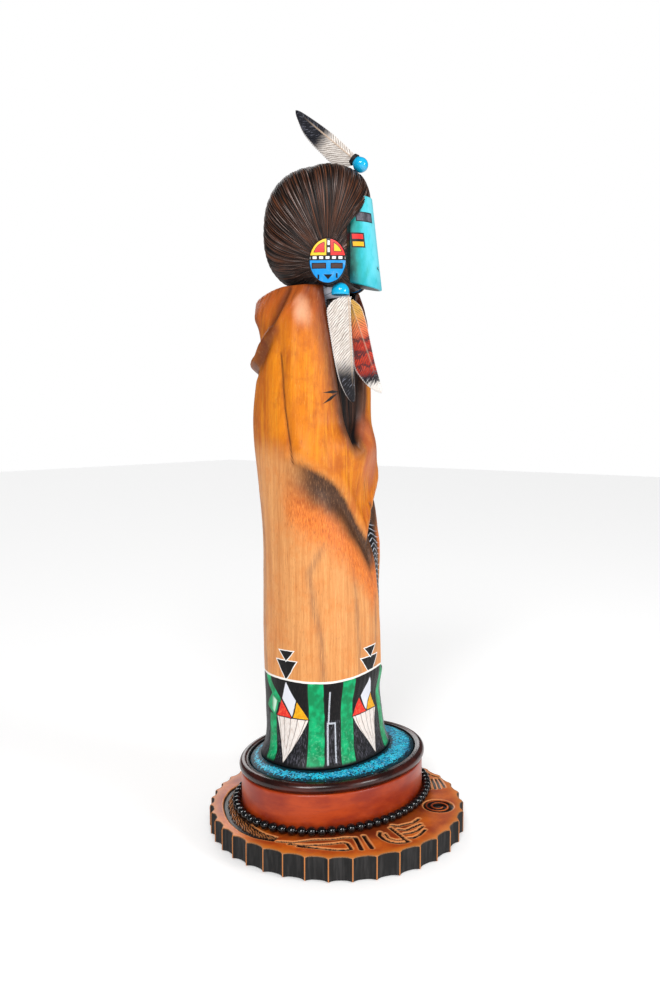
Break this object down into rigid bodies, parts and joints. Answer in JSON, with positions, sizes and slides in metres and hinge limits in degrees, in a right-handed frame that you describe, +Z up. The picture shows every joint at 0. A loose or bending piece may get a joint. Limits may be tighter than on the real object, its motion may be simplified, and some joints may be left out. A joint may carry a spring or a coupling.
{
  "type": "kachina doll",
  "caption": "Painted wooden kachina doll: a robed figure with a turned masked head, hanging feathers and disc earrings, on an oval plinth and a fluted round base.",
  "frame": {"origin": "on the underside, at the middle of the round base", "axes": "+Z up; the figure's body faces -Y, its right hand side is -X, and its head is turned toward its left"},
  "size_m": [0.1397, 0.1397, 0.3869],
  "materials": {
    "stained_base": "carved, orange-brown stain, charcoal flutes",
    "stained_plinth": "red-brown stain, satin",
    "dark_gloss_wood": "dark brown, glossy",
    "painted_ground": "painted blue, stippled",
    "black_beads": "black, glossy",
    "carved_robe": "carved wood, honey-brown stain, painted band and mask",
    "painted_ear_disc": "painted, satin",
    "turquoise_bead": "turquoise, glossy",
    "painted_feather": "carved and painted white with dark tip",
    "painted_red_feather": "carved and painted red with dark bars"
  },
  "bodies": {
    "root": {"base_disc": "stained_base", "plinth_drum": "stained_plinth", "plinth_rim": "dark_gloss_wood", "ground_disc": "painted_ground", "bead_string": "black_beads", "figure": "carved_robe", "ear_disc_right": "painted_ear_disc", "ear_disc_left": "painted_ear_disc", "crown_feather": "painted_feather", "crown_bead": "turquoise_bead", "neck_bead": "turquoise_bead", "white_feather": "painted_feather", "red_feather": "painted_red_feather"}
  },
  "joints": []
}
